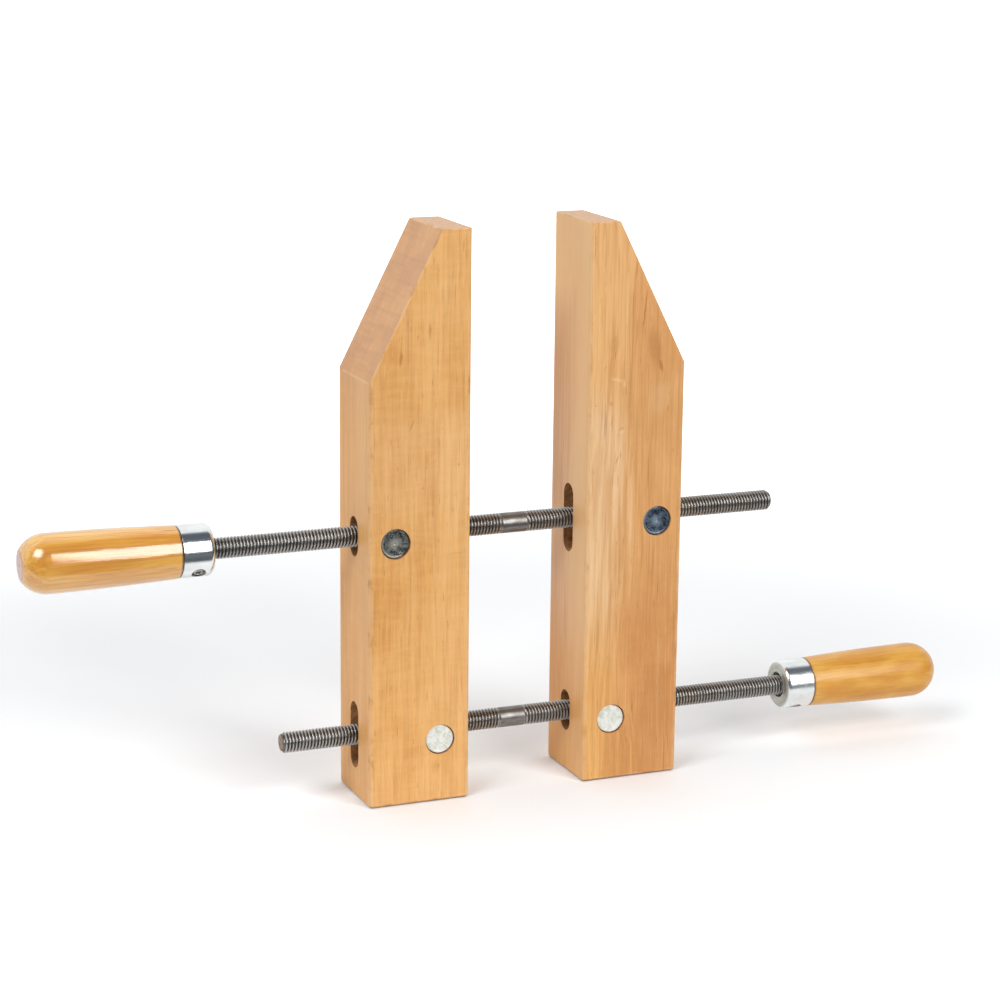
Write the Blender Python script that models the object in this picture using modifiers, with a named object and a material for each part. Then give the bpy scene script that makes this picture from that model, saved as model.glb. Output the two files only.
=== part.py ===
"""Wooden adjustable handscrew clamp: two maple jaws joined by two steel screws.

Each screw has a left-hand thread on its left half and a right-hand thread on its
right half, runs through a swivel nut in each jaw, and carries a turned wooden handle
with a metal ferrule at one end: the middle screw on the left, the end screw on the
right. X runs along the screws, Y across the jaws' thickness and Z up the jaws. The
origin is midway between the jaws, at the height of their butt ends.
"""
import math

import bmesh
import bpy
from mathutils import Matrix, Vector

MM = 0.001

# Jaws
JAW_LENGTH = 304.8 * MM
JAW_DEPTH = 56.0 * MM           # clamping face to outer face
JAW_THICKNESS = 48.0 * MM
SHOULDER_HEIGHT = 227.5 * MM    # where the outer bevel starts
TIP_DEPTH = 16.8 * MM
BUTT_CHAMFER = 2.0 * MM
JAW_EDGE = 0.5 * MM
OPENING = 66.0 * MM             # between the clamping faces

# Screws
END_HEIGHT = 34.2 * MM          # above the butt ends
MIDDLE_HEIGHT = 142.6 * MM
END_NUT_INSET = 16.5 * MM       # clamping face to nut axis
MIDDLE_NUT_INSET = 41.5 * MM
ROD_RADIUS = 5.4 * MM
ROD_TIP_CHAMFER = 1.2 * MM
MIDDLE_FREE_END = 153.5 * MM    # middle of the screw to its free end
END_FREE_END = 130.0 * MM

# Swivel nuts and the passages cut for them
NUT_RADIUS = 7.8 * MM
NUT_RECESS = 1.0 * MM           # below the side of the jaw
NUT_CHAMFER = 0.5 * MM
NUT_BORE_RADIUS = 5.95 * MM
NUT_HOLE_RADIUS = 8.15 * MM
SLOT_RADIUS = 6.2 * MM
SLOT_SWING = math.radians(16.6)

# Handles
MIDDLE_FERRULE_FACE = 167.0 * MM    # middle of the screw to the ferrule's front face
END_FERRULE_FACE = 163.5 * MM
FERRULE_LENGTH = 17.0 * MM
FERRULE_RADIUS = 13.6 * MM
FERRULE_CORNER = 3.0 * MM
FERRULE_WALL = 1.6 * MM
FERRULE_HOLE_RADIUS = 6.7 * MM
HANDLE_LENGTH = 98.0 * MM       # ferrule face to domed end
HANDLE_RADIUS = 15.4 * MM
HANDLE_NECK_RADIUS = 13.7 * MM
HANDLE_FLAT_RADIUS = 7.6 * MM   # flat left on the domed end
BARREL_POWER = 1.8
ROD_SOCKET = 4.5 * MM           # rod end behind the ferrule face
PIN_RADIUS = 2.75 * MM
PIN_SETBACK = 8.5 * MM          # pin axis behind the ferrule face
PIN_COUNTERSINK = 0.6 * MM
MIDDLE_PIN_ANGLE = math.radians(43)
END_PIN_ANGLE = math.radians(-27)

CLEARANCE = 0.3 * MM            # between pieces that touch on the real clamp
SWEEP = 60.0 * MM               # cutters reach past the wood
MERGE = 0.00001

TURNED_STEPS = 28
HOLE_STEPS = 28
SLOT_STEPS = 16


def new_collection(name):
    collection = bpy.data.collections.new(name)
    bpy.context.scene.collection.children.link(collection)
    return collection


def new_material(name, colour, roughness, metallic):
    material = bpy.data.materials.new(name)
    material.use_nodes = True
    shader = material.node_tree.nodes["Principled BSDF"]
    shader.inputs["Base Color"].default_value = (*colour, 1.0)
    shader.inputs["Roughness"].default_value = roughness
    shader.inputs["Metallic"].default_value = metallic
    material.diffuse_color = (*colour, 1.0)
    return material


def new_object(name, mesh, collection, material=None):
    item = bpy.data.objects.new(name, mesh)
    collection.objects.link(item)
    if material:
        mesh.materials.append(material)
    return item


def new_cutter(name, mesh):
    item = new_object(name, mesh, cutters)
    item.hide_render = True
    item.display_type = "WIRE"
    return item


def cut(item, cutter):
    modifier = item.modifiers.new(cutter.name, "BOOLEAN")
    modifier.operation = "DIFFERENCE"
    modifier.solver = "EXACT"
    modifier.object = cutter


def bevel(item, width, segments=1):
    modifier = item.modifiers.new("edges", "BEVEL")
    modifier.width = width
    modifier.segments = segments
    modifier.limit_method = "ANGLE"
    modifier.angle_limit = math.radians(25)


def smooth(item):
    item.data.shade_smooth()
    item.data.set_sharp_from_angle(angle=math.radians(30))


def rod_mesh(name, radius, length, axis, steps):
    """A cylinder centred on the origin, along the given axis."""
    bm = bmesh.new()
    turn = Vector((0, 0, 1)).rotation_difference(axis).to_matrix()
    bmesh.ops.create_cone(bm, cap_ends=True, segments=steps, radius1=radius,
                          radius2=radius, depth=length, matrix=turn.to_4x4())
    mesh = bpy.data.meshes.new(name)
    bm.to_mesh(mesh)
    bm.free()
    return mesh


def turned(name, profile, material, closed=False):
    """A body turned about Z from (radius, height) points, outer side downward."""
    mesh = bpy.data.meshes.new(name)
    count = len(profile)
    edges = [(i, i + 1) for i in range(count - 1)]
    if closed:
        edges.append((count - 1, 0))
    mesh.from_pydata([(radius, 0, height) for radius, height in profile], edges, [])
    item = new_object(name, mesh, clamp, material)
    screw = item.modifiers.new("turn", "SCREW")
    screw.steps = TURNED_STEPS
    screw.render_steps = TURNED_STEPS
    screw.use_merge_vertices = True
    screw.merge_threshold = MERGE
    screw.use_smooth_shade = True
    return item


def arc(centre, radius, start, end, count):
    """(radius, height) points on an arc; angles are from the outward direction."""
    points = []
    for i in range(count + 1):
        angle = math.radians(start + (end - start) * i / count)
        points.append((centre[0] + radius * math.cos(angle),
                       centre[1] + radius * math.sin(angle)))
    return points


def solid_outline(name, points, thickness, material):
    """A flat outline in X and Z, given thickness along Y, as a mesh object."""
    curve = bpy.data.curves.new(name, "CURVE")
    curve.dimensions = "2D"
    curve.fill_mode = "BOTH"
    curve.extrude = thickness / 2
    spline = curve.splines.new("POLY")
    spline.points.add(len(points) - 1)
    for point, (x, z) in zip(spline.points, points):
        point.co = (x, z, 0, 1)
    spline.use_cyclic_u = True
    drawn = bpy.data.objects.new(name, curve)
    clamp.objects.link(drawn)
    bpy.context.view_layer.update()
    evaluated = drawn.evaluated_get(bpy.context.evaluated_depsgraph_get())
    mesh = bpy.data.meshes.new_from_object(evaluated)
    bpy.data.objects.remove(drawn)
    mesh.transform(Matrix.Rotation(math.radians(90), 4, "X"))
    bm = bmesh.new()
    bm.from_mesh(mesh)
    bmesh.ops.remove_doubles(bm, verts=bm.verts, dist=MERGE)
    bmesh.ops.dissolve_limit(bm, angle_limit=math.radians(1), verts=bm.verts, edges=bm.edges)
    bmesh.ops.recalc_face_normals(bm, faces=bm.faces)
    bm.to_mesh(mesh)
    bm.free()
    return new_object(name, mesh, clamp, material)


def slot_cutter(name, pivot, side):
    """One half of the flared passage that lets the screw swing about the nut."""
    bm = bmesh.new()
    for swing in (-SLOT_SWING, SLOT_SWING):
        direction = Vector((side * math.cos(swing), 0, math.sin(swing)))
        turn = Vector((0, 0, 1)).rotation_difference(direction).to_matrix().to_4x4()
        place = Matrix.Translation(pivot + direction * SWEEP / 2) @ turn
        bmesh.ops.create_cone(bm, cap_ends=True, segments=SLOT_STEPS, radius1=SLOT_RADIUS,
                              radius2=SLOT_RADIUS, depth=SWEEP, matrix=place)
    bmesh.ops.delete(bm, geom=bm.faces[:], context="FACES_ONLY")
    bmesh.ops.delete(bm, geom=bm.edges[:], context="EDGES_FACES")
    hull = bmesh.ops.convex_hull(bm, input=bm.verts[:])
    unused = {part for part in hull["geom_unused"] + hull["geom_interior"]
              if isinstance(part, bmesh.types.BMVert)}
    bmesh.ops.delete(bm, geom=list(unused), context="VERTS")
    bmesh.ops.dissolve_limit(bm, angle_limit=math.radians(0.5), verts=bm.verts, edges=bm.edges)
    bmesh.ops.recalc_face_normals(bm, faces=bm.faces)
    mesh = bpy.data.meshes.new(name)
    bm.to_mesh(mesh)
    bm.free()
    return new_cutter(name, mesh)


def jaw_outline(side):
    """Corners of a jaw in X and Z, from the clamping face outward, for one side."""
    corners = [
        (BUTT_CHAMFER, 0), (0, BUTT_CHAMFER), (0, JAW_LENGTH), (TIP_DEPTH, JAW_LENGTH),
        (JAW_DEPTH, SHOULDER_HEIGHT), (JAW_DEPTH, BUTT_CHAMFER), (JAW_DEPTH - BUTT_CHAMFER, 0),
    ]
    return [(side * (x - END_NUT_INSET), z - END_HEIGHT) for x, z in corners]


def make_jaw(name, side):
    """A jaw with its own origin on the axis of its end nut."""
    jaw = solid_outline(name, jaw_outline(side), JAW_THICKNESS, maple)
    jaw.location = (side * (OPENING / 2 + END_NUT_INSET), 0, END_HEIGHT)
    bevel(jaw, JAW_EDGE)
    middle = Vector((side * (MIDDLE_NUT_INSET - END_NUT_INSET), 0, MIDDLE_HEIGHT - END_HEIGHT))
    for label, pivot in (("end", Vector()), ("middle", middle)):
        mesh = rod_mesh(name, NUT_HOLE_RADIUS, JAW_THICKNESS + SWEEP, Vector((0, 1, 0)), HOLE_STEPS)
        hole = new_cutter(f"{name}_{label}_nut_hole", mesh)
        hole.location = pivot
        tools = [hole]
        for half in (-1, 1):
            tools.append(slot_cutter(f"{name}_{label}_slot_{half}", pivot, half))
        for tool in tools:
            tool.parent = jaw
            cut(jaw, tool)
    return jaw


def make_nut(name, side, inset, height, material):
    """A round nut lying across the jaw, bored for the screw."""
    length = JAW_THICKNESS - 2 * NUT_RECESS
    mesh = rod_mesh(name, NUT_RADIUS, length, Vector((0, 1, 0)), HOLE_STEPS)
    nut = new_object(name, mesh, clamp, material)
    nut.location = (side * (OPENING / 2 + inset), 0, height)
    bevel(nut, NUT_CHAMFER)
    mesh = rod_mesh(name, NUT_BORE_RADIUS, SWEEP, Vector((1, 0, 0)), HOLE_STEPS)
    bore = new_cutter(f"{name}_bore", mesh)
    bore.parent = nut
    cut(nut, bore)
    smooth(nut)
    return nut


def rod_profile(face, free_end):
    top = face + ROD_SOCKET
    inner = ROD_RADIUS - ROD_TIP_CHAMFER
    return [(0, top), (inner, top), (ROD_RADIUS, top - ROD_TIP_CHAMFER),
            (ROD_RADIUS, -free_end + ROD_TIP_CHAMFER), (inner, -free_end), (0, -free_end)]


def ferrule_profile(face):
    back = face + FERRULE_LENGTH
    inside = FERRULE_RADIUS - FERRULE_WALL
    corner = (FERRULE_RADIUS - FERRULE_CORNER, face + FERRULE_CORNER)
    outer = [(FERRULE_RADIUS, back)] + arc(corner, FERRULE_CORNER, 0, -90, 4)
    inner = [(FERRULE_HOLE_RADIUS, face), (FERRULE_HOLE_RADIUS, face + FERRULE_WALL),
             (inside, face + FERRULE_WALL), (inside, back)]
    return outer + inner


def barrel_radius(height, start, widest):
    """The grip swells from its neck at start to its full radius at widest."""
    share = (widest - height) / (widest - start)
    return HANDLE_RADIUS - (HANDLE_RADIUS - HANDLE_NECK_RADIUS) * max(share, 0) ** BARREL_POWER


def handle_profile(face):
    """A spherical end with a small flat, a barrel, and a tenon inside the ferrule."""
    tip = face + HANDLE_LENGTH
    neck = face + FERRULE_LENGTH + CLEARANCE
    flat_angle = math.degrees(math.acos(HANDLE_FLAT_RADIUS / HANDLE_RADIUS))
    dome = tip - HANDLE_RADIUS * math.sin(math.radians(flat_angle))
    tenon = FERRULE_RADIUS - FERRULE_WALL - CLEARANCE
    front = face + FERRULE_WALL + CLEARANCE
    socket = ROD_RADIUS + 2 * CLEARANCE
    floor = face + ROD_SOCKET + 2 * CLEARANCE
    points = [(0, tip)] + arc((0, dome), HANDLE_RADIUS, flat_angle, 0, 6)
    for i in range(1, 6):
        height = dome + (neck - dome) * i / 5
        points.append((barrel_radius(height, neck, dome), height))
    points += [(tenon, neck), (tenon, front), (socket, front), (socket, floor), (0, floor)]
    return points


def make_pin(name, angle, axis, face):
    """The cross pin, with its cutter for the ferrule and the handle's tenon."""
    direction = Vector((math.cos(angle), math.sin(angle), 0))
    centre = Vector((0, 0, face + PIN_SETBACK))
    length = 2 * (FERRULE_RADIUS - CLEARANCE)
    pin = new_object(name, rod_mesh(name, PIN_RADIUS, length, direction, SLOT_STEPS), clamp, steel)
    bevel(pin, PIN_COUNTERSINK)
    pin.location = centre
    pin.parent = axis
    smooth(pin)
    mesh = rod_mesh(name, PIN_RADIUS + CLEARANCE, SWEEP, direction, SLOT_STEPS)
    cutter = new_cutter(f"{name}_hole", mesh)
    cutter.location = centre
    cutter.parent = axis
    return cutter


def make_screw(name, height, toward, face, free_end, pin_angle):
    """A rod, ferrule, pin and handle on an empty whose Z runs toward the handle."""
    axis = bpy.data.objects.new(f"{name}_axis", None)
    clamp.objects.link(axis)
    axis.location = (0, 0, height)
    axis.rotation_euler = (0, toward * math.radians(90), 0)
    rod = turned(f"{name}_spindle", rod_profile(face, free_end), steel)
    ferrule = turned(f"{name}_ferrule", ferrule_profile(face), zinc, closed=True)
    handle = turned(f"{name}_handle", handle_profile(face), varnish)
    for item in (rod, ferrule, handle):
        item.parent = axis
    hole = make_pin(f"{name}_ferrule_pin", pin_angle, axis, face)
    cut(ferrule, hole)
    cut(handle, hole)


for old in list(bpy.data.objects):
    bpy.data.objects.remove(old)

clamp = new_collection("handscrew_clamp")
cutters = new_collection("cutters")

maple = new_material("maple", (0.71, 0.45, 0.24), 0.5, 0.0)
varnish = new_material("varnished_handle", (0.80, 0.40, 0.09), 0.18, 0.0)
steel = new_material("oiled_steel", (0.16, 0.155, 0.15), 0.38, 1.0)
zinc = new_material("zinc_plate", (0.78, 0.79, 0.80), 0.16, 1.0)
dark_nut = new_material("blued_nut", (0.24, 0.25, 0.28), 0.3, 1.0)
bright_nut = new_material("bright_nut", (0.70, 0.70, 0.68), 0.25, 1.0)

for side_name, side in (("left", -1), ("right", 1)):
    make_jaw(f"{side_name}_jaw", side)
    make_nut(f"{side_name}_middle_nut", side, MIDDLE_NUT_INSET, MIDDLE_HEIGHT, dark_nut)
    make_nut(f"{side_name}_end_nut", side, END_NUT_INSET, END_HEIGHT, bright_nut)

make_screw("middle", MIDDLE_HEIGHT, -1, MIDDLE_FERRULE_FACE, MIDDLE_FREE_END, MIDDLE_PIN_ANGLE)
make_screw("end", END_HEIGHT, 1, END_FERRULE_FACE, END_FREE_END, END_PIN_ANGLE)
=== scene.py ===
"""Looks of the wooden handscrew clamp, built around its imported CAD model.

X runs along the screws, Y across the jaws' thickness and Z up the jaws; the seen
side faces -Y. Every CAD node is replaced by a finer piece of the same size.
Colours are linear.
"""
import math

import bmesh
import bpy
import numpy as np
from mathutils import Matrix, Vector


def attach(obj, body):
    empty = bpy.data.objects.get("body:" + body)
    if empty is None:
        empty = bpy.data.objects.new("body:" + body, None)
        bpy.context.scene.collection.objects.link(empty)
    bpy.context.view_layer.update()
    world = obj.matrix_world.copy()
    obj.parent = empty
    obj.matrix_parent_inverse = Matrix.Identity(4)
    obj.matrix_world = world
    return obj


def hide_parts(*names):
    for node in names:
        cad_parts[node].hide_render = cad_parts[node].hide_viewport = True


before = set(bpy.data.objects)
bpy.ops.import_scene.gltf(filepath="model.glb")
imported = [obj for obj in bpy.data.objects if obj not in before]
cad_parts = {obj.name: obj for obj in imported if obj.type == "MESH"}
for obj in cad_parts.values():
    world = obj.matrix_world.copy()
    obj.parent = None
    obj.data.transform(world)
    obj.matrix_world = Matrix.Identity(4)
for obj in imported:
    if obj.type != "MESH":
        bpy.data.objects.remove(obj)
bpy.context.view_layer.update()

MM = 0.001
TAU = 2 * math.pi
FINE = 72                       # sides of holes and nuts
COARSE = 48                     # sides of passages, pins and their holes

# ---------------- sizes
JAW_LENGTH = 304.8 * MM
JAW_INSIDE = 33.0 * MM          # clamping face from the middle plane
JAW_OUTSIDE = 89.0 * MM
JAW_HALF = 24.0 * MM            # half the thickness
SHOULDER = 227.5 * MM
TIP_DEPTH = 16.8 * MM
BUTT_CHAMFER = 2.0 * MM
BUTT_EDGE = 2.0 * MM
LONG_EDGE = 2.2 * MM            # rounding of the long edges
BEVEL_EDGE = 0.9 * MM
TIP_EDGE = 0.7 * MM
RIM_EDGE = 0.3 * MM
NUT_HOLE_RADIUS = 8.15 * MM
SLOT_RADIUS = 6.2 * MM
SLOT_SWING = math.radians(16.6)
SLOT_REACH = 90.0 * MM
SLOT_FLATNESS = math.radians(0.3)
SAME_WAY = 0.9995               # cosine between the normals of faces in one plane
SAME_PLACE = 0.01 * MM
MERGE = 0.001 * MM

END_HEIGHT = 34.2 * MM
MIDDLE_HEIGHT = 142.6 * MM
END_NUT = 49.5 * MM             # nut axes from the middle plane
MIDDLE_NUT = 74.5 * MM
NUT_RADIUS = 7.8 * MM
NUT_HALF = 23.0 * MM
NUT_BORE = 5.8 * MM

PITCH = 25.4 * MM / 14
CREST = 5.55 * MM
ROOT = 4.5 * MM
PLAIN_RADIUS = 5.45 * MM
PLAIN_HALF = 6.4 * MM
RUNOUT = 3.2 * MM
ROD_TIP = 4.2 * MM
MIDDLE_FREE = 153.5 * MM
END_FREE = 130.0 * MM
ROD_SOCKET = 4.5 * MM           # end of the screw inside the ferrule

FERRULE_FACE = 167.0 * MM       # middle of the middle screw to its ferrule
END_SHIFT = -3.5 * MM           # the end screw's ferrule and handle sit nearer
FERRULE_LENGTH = 17.0 * MM
FERRULE_RADIUS = 13.6 * MM
FERRULE_SIDES = 96
HANDLE_TIP = 265.0 * MM
HANDLE_RADIUS = 15.4 * MM
NECK_RADIUS = 13.7 * MM
FLAT_RADIUS = 7.6 * MM
BARREL_POWER = 1.8
HANDLE_SIDES = 112
PIN_AT = FERRULE_FACE + 8.5 * MM
PIN_RADIUS = 2.7 * MM
MIDDLE_PIN_ANGLE = math.radians(43)
END_PIN_ANGLE = math.radians(-27)


# ---------------- mesh helpers
def link(name, mesh, material=None):
    item = bpy.data.objects.new(name, mesh)
    bpy.context.scene.collection.objects.link(item)
    if material:
        mesh.materials.append(material)
    return item


def mesh_of(bm, name):
    bmesh.ops.recalc_face_normals(bm, faces=bm.faces)
    mesh = bpy.data.meshes.new(name)
    bm.to_mesh(mesh)
    bm.free()
    return mesh


def verts_in(geometry):
    return [g for g in geometry if isinstance(g, bmesh.types.BMVert)]


def wear(item, material):
    """Gives the item one material in place of those that its cutters left."""
    item.data.materials.clear()
    item.data.materials.append(material)


def soften(item, degrees=35, weighted=False):
    item.data.shade_smooth()
    item.data.set_sharp_from_angle(angle=math.radians(degrees))
    if weighted:
        modifier = item.modifiers.new("even_normals", "WEIGHTED_NORMAL")
        modifier.keep_sharp = True


def arc(cx, cy, radius, start, end, count):
    return [(cx + radius * math.cos(math.radians(start + (end - start) * i / count)),
             cy + radius * math.sin(math.radians(start + (end - start) * i / count)))
            for i in range(count + 1)]


def revolve(name, profile, steps, closed=False):
    """A body turned about X from (distance along X, radius) points."""
    bm = bmesh.new()
    rings = []
    for along, radius in profile:
        if radius < 1e-7:
            rings.append([bm.verts.new((along, 0, 0))] * steps)
        else:
            rings.append([bm.verts.new((along, radius * math.cos(TAU * i / steps),
                                        radius * math.sin(TAU * i / steps))) for i in range(steps)])
    pairs = list(zip(rings, rings[1:]))
    if closed:
        pairs.append((rings[-1], rings[0]))
    for first, second in pairs:
        for i in range(steps):
            j = (i + 1) % steps
            corners = []
            for corner in (first[i], first[j], second[j], second[i]):
                if corner not in corners:
                    corners.append(corner)
            if len(corners) > 2:
                bm.faces.new(corners)
    return mesh_of(bm, name)


def turned_from(axis, direction):
    """Matrix that turns an axis onto a direction."""
    return Vector(axis).rotation_difference(Vector(direction)).to_matrix().to_4x4()


def cone(name, radii, length, direction, centre=(0, 0, 0), steps=COARSE):
    """A solid cone or cylinder about a direction, from its first radius to its second."""
    bm = bmesh.new()
    place = Matrix.Translation(centre) @ turned_from((0, 0, 1), direction)
    bmesh.ops.create_cone(bm, cap_ends=True, segments=steps, radius1=radii[0], radius2=radii[1],
                          depth=length, matrix=place)
    return mesh_of(bm, name)


def cylinder(name, radius, length, direction, centre=(0, 0, 0), steps=COARSE):
    return cone(name, (radius, radius), length, direction, centre, steps)


def subtract(item, cutters=()):
    """Cuts the cutter meshes out of the item, and applies any modifier it has."""
    tools = [link("cutter", mesh) for mesh in cutters]
    for tool in tools:
        modifier = item.modifiers.new("cut", "BOOLEAN")
        modifier.operation = "DIFFERENCE"
        modifier.solver = "EXACT"
        modifier.object = tool
    bpy.context.view_layer.update()
    done = item.evaluated_get(bpy.context.evaluated_depsgraph_get())
    mesh = bpy.data.meshes.new_from_object(done)
    item.modifiers.clear()
    old, item.data = item.data, mesh
    bpy.data.meshes.remove(old)
    for tool in tools:
        data = tool.data
        bpy.data.objects.remove(tool)
        bpy.data.meshes.remove(data)


# ---------------- node helpers
class Nodes:
    """A node tree that grows one call at a time."""

    def __init__(self, tree):
        self.tree = tree
        self.where = tree.nodes.new("ShaderNodeTexCoord").outputs
        self.here = self.where["Object"]

    def plug(self, socket, value):
        if isinstance(value, bpy.types.NodeSocket):
            self.tree.links.new(value, socket)
        elif socket.type == "RGBA":
            socket.default_value = (*value, 1.0)
        else:
            socket.default_value = value

    def node(self, kind, inputs=(), out=0, **settings):
        made = self.tree.nodes.new("ShaderNode" + kind)
        for key, value in settings.items():
            setattr(made, key, value)
        for key, value in dict(inputs).items():
            self.plug(made.inputs[key], value)
        return made.outputs[out]

    def noise(self, scale, offset=(0, 0, 0), detail=2.0, rough=0.5, distortion=0.0, source=None):
        """Noise with its own scale along each axis, in cells per metre."""
        place = self.node("Mapping", {"Vector": source or self.here, "Location": offset,
                                      "Scale": scale})
        return self.node("TexNoise", {"Vector": place, "Scale": 1.0, "Detail": detail,
                                      "Roughness": rough, "Distortion": distortion})

    def math(self, operation, a, b=0.0, clamp=False):
        return self.node("Math", {0: a, 1: b}, operation=operation, use_clamp=clamp)

    def step(self, value, low, high, to_low=0.0, to_high=1.0):
        return self.node("MapRange", {"Value": value, "From Min": low, "From Max": high,
                                      "To Min": to_low, "To Max": to_high},
                         interpolation_type="SMOOTHSTEP")

    def ramp(self, value, *colours):
        """Evenly spaced colours, from the first at 0 to the last at 1."""
        made = self.tree.nodes.new("ShaderNodeValToRGB")
        self.plug(made.inputs[0], value)
        elements = made.color_ramp.elements
        while len(elements) < len(colours):
            elements.new(0.5)
        for i, colour in enumerate(colours):
            elements[i].position = i / (len(colours) - 1)
            elements[i].color = (*colour, 1.0)
        return made.outputs[0]

    def mix(self, share, a, b, blend="MIX"):
        made = self.tree.nodes.new("ShaderNodeMix")
        made.data_type = "RGBA"
        made.blend_type = blend
        self.plug(made.inputs["Factor"], share)
        self.plug(made.inputs[6], a)
        self.plug(made.inputs[7], b)
        return made.outputs[2]

    def parts(self, vector):
        made = self.tree.nodes.new("ShaderNodeSeparateXYZ")
        self.plug(made.inputs[0], vector)
        return made.outputs

    def rays(self):
        return self.tree.nodes.new("ShaderNodeLightPath").outputs

    def chain(self, operation, values):
        total = values[0]
        for value in values[1:]:
            total = self.math(operation, total, value)
        return total

    def sum(self, *terms):
        return self.chain("ADD", terms)

    def product(self, *factors):
        return self.chain("MULTIPLY", factors)

    def length(self, a, b):
        """Length of the vector with two parts at right angles."""
        return self.math("SQRT", self.sum(self.product(a, a), self.product(b, b)))

    def size(self, value):
        return self.math("ABSOLUTE", value)

    def blend(self, source, low, high, first, second):
        """The first colour where the source is low, the second where it is high."""
        return self.mix(self.step(source, low, high), first, second)

    def tint(self, tone, colour, source, low, high, share=1.0):
        """The tone, turned toward a colour as the source goes from low to high."""
        return self.mix(self.step(source, low, high, 0.0, share), tone, colour)

    def shift(self, vector, by):
        return self.node("VectorMath", {0: vector, 1: by}, operation="ADD")

    def scaled(self, vector, factor):
        return self.node("VectorMath", {0: vector, 3: factor}, operation="SCALE")

    def bump(self, height, depth, strength, under=None):
        """Relief with its depth in mm, over other relief."""
        inputs = {"Height": height, "Distance": depth * MM, "Strength": strength}
        if under:
            inputs["Normal"] = under
        return self.node("Bump", inputs)


class Finish(Nodes):
    """A material and its Principled shader."""

    def __init__(self, name, **constants):
        self.material = bpy.data.materials.new(name)
        self.material.use_nodes = True
        super().__init__(self.material.node_tree)
        self.shader = self.tree.nodes["Principled BSDF"]
        for key, value in constants.items():
            self.set(key.replace("_", " ").title().replace("Ior", "IOR"), value)

    def set(self, socket, value):
        self.plug(self.shader.inputs[socket], value)


# ---------------- jaws
def jaw_planes(side):
    """(outward normal, distance) of each flat face of a jaw."""
    slope = Vector((JAW_LENGTH - SHOULDER, 0, JAW_OUTSIDE - JAW_INSIDE - TIP_DEPTH)).normalized()
    slope.x *= side
    shoulder = Vector((side * JAW_OUTSIDE, 0, SHOULDER))
    return [(Vector((0, -1, 0)), JAW_HALF), (Vector((0, 1, 0)), JAW_HALF),
            (Vector((0, 0, -1)), 0.0), (Vector((0, 0, 1)), JAW_LENGTH),
            (Vector((-side, 0, 0)), -JAW_INSIDE), (Vector((side, 0, 0)), JAW_OUTSIDE),
            (slope, slope.dot(shoulder))]


def edge_width(edge):
    """How far a jaw's edge is eased, by where it lies and which way it runs."""
    run = edge.verts[1].co - edge.verts[0].co
    low = all(v.co.z < MM for v in edge.verts)
    if abs(run.y) > MM:
        return BUTT_CHAMFER if low else TIP_EDGE
    if abs(run.x) < MM:
        return LONG_EDGE
    if low:
        return BUTT_EDGE
    return BEVEL_EDGE if abs(run.z) > MM else TIP_EDGE


def jaw_block(name, side):
    """The jaw before its holes, with its long edges eased and its butt edges rounder."""
    corners = [(JAW_INSIDE, 0), (JAW_OUTSIDE, 0), (JAW_OUTSIDE, SHOULDER),
               (JAW_INSIDE + TIP_DEPTH, JAW_LENGTH), (JAW_INSIDE, JAW_LENGTH)]
    bm = bmesh.new()
    front = bm.faces.new([bm.verts.new((side * x, -JAW_HALF, z)) for x, z in corners])
    moved = bmesh.ops.extrude_face_region(bm, geom=[front])["geom"]
    bmesh.ops.translate(bm, vec=(0, 2 * JAW_HALF, 0), verts=verts_in(moved))
    weight = bm.edges.layers.float.new("bevel_weight_edge")
    for edge in bm.edges:
        edge[weight] = edge_width(edge) / LONG_EDGE
    block = link(name, mesh_of(bm, name))
    bevel = block.modifiers.new("eased", "BEVEL")
    bevel.limit_method = "WEIGHT"
    bevel.width = LONG_EDGE
    bevel.segments = 4
    subtract(block)
    return block


def slot_tool(pivot, side):
    """One flared half of the passage in which the screw swings about its nut."""
    bm = bmesh.new()
    for swing in (-SLOT_SWING, SLOT_SWING):
        direction = Vector((side * math.cos(swing), 0, math.sin(swing)))
        middle = pivot + direction * SLOT_REACH / 2
        limit = cylinder("limit", SLOT_RADIUS, SLOT_REACH, direction, middle)
        for vertex in limit.vertices:
            bm.verts.new(vertex.co)
        bpy.data.meshes.remove(limit)
    hull = bmesh.ops.convex_hull(bm, input=bm.verts)
    spare = set(verts_in(hull["geom_unused"] + hull["geom_interior"]))
    bmesh.ops.delete(bm, geom=list(spare), context="VERTS")
    bmesh.ops.dissolve_limit(bm, angle_limit=SLOT_FLATNESS, verts=bm.verts, edges=bm.edges)
    return mesh_of(bm, "slot")


def on_plane(normal, centre, planes):
    return any(normal.dot(n) > SAME_WAY and abs(centre.dot(n) - d) < SAME_PLACE
               for n, d in planes)


def depth_below(centre, planes):
    """How far a point inside the jaw is from its nearest flat face."""
    return min(d - n.dot(centre) for n, d in planes)


def ease_rims(mesh, planes):
    """Rounds the edges where holes and slots break through the flat faces."""
    bm = bmesh.new()
    bm.from_mesh(mesh)
    bm.normal_update()
    bmesh.ops.remove_doubles(bm, verts=bm.verts, dist=MERGE)
    flat = {face for face in bm.faces
            if on_plane(face.normal, face.calc_center_median(), planes)}
    rims = []
    for edge in bm.edges:
        if len(edge.link_faces) != 2 or len(flat.intersection(edge.link_faces)) != 1:
            continue
        wall = next(face for face in edge.link_faces if face not in flat)
        if depth_below(wall.calc_center_median(), planes) > BUTT_CHAMFER:
            rims.append(edge)
    bmesh.ops.bevel(bm, geom=rims, offset=RIM_EDGE, offset_type="OFFSET", segments=2,
                    profile=0.5, affect="EDGES", clamp_overlap=True)
    bm.to_mesh(mesh)
    bm.free()


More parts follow.
